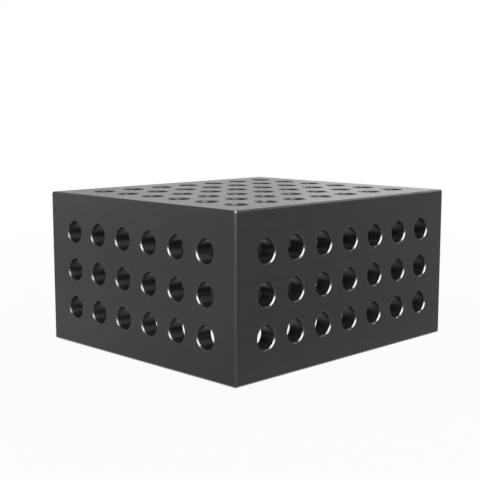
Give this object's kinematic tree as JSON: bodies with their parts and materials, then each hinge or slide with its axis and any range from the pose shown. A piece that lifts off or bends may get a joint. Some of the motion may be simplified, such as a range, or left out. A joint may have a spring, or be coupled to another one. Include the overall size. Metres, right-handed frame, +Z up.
{
  "type": "clamping block",
  "caption": "Hollow rectangular workholding block, open underneath, with a grid of clamping bores through every wall.",
  "frame": {"origin": "middle of the base, on the plane that the block stands on", "axes": "+X along the 400 mm length, +Y along the 350 mm width, +Z up to the top face"},
  "size_m": [0.4, 0.35, 0.2],
  "materials": {
    "dark_iron": "satin"
  },
  "bodies": {
    "root": {"clamping_block": "dark_iron"}
  },
  "joints": []
}
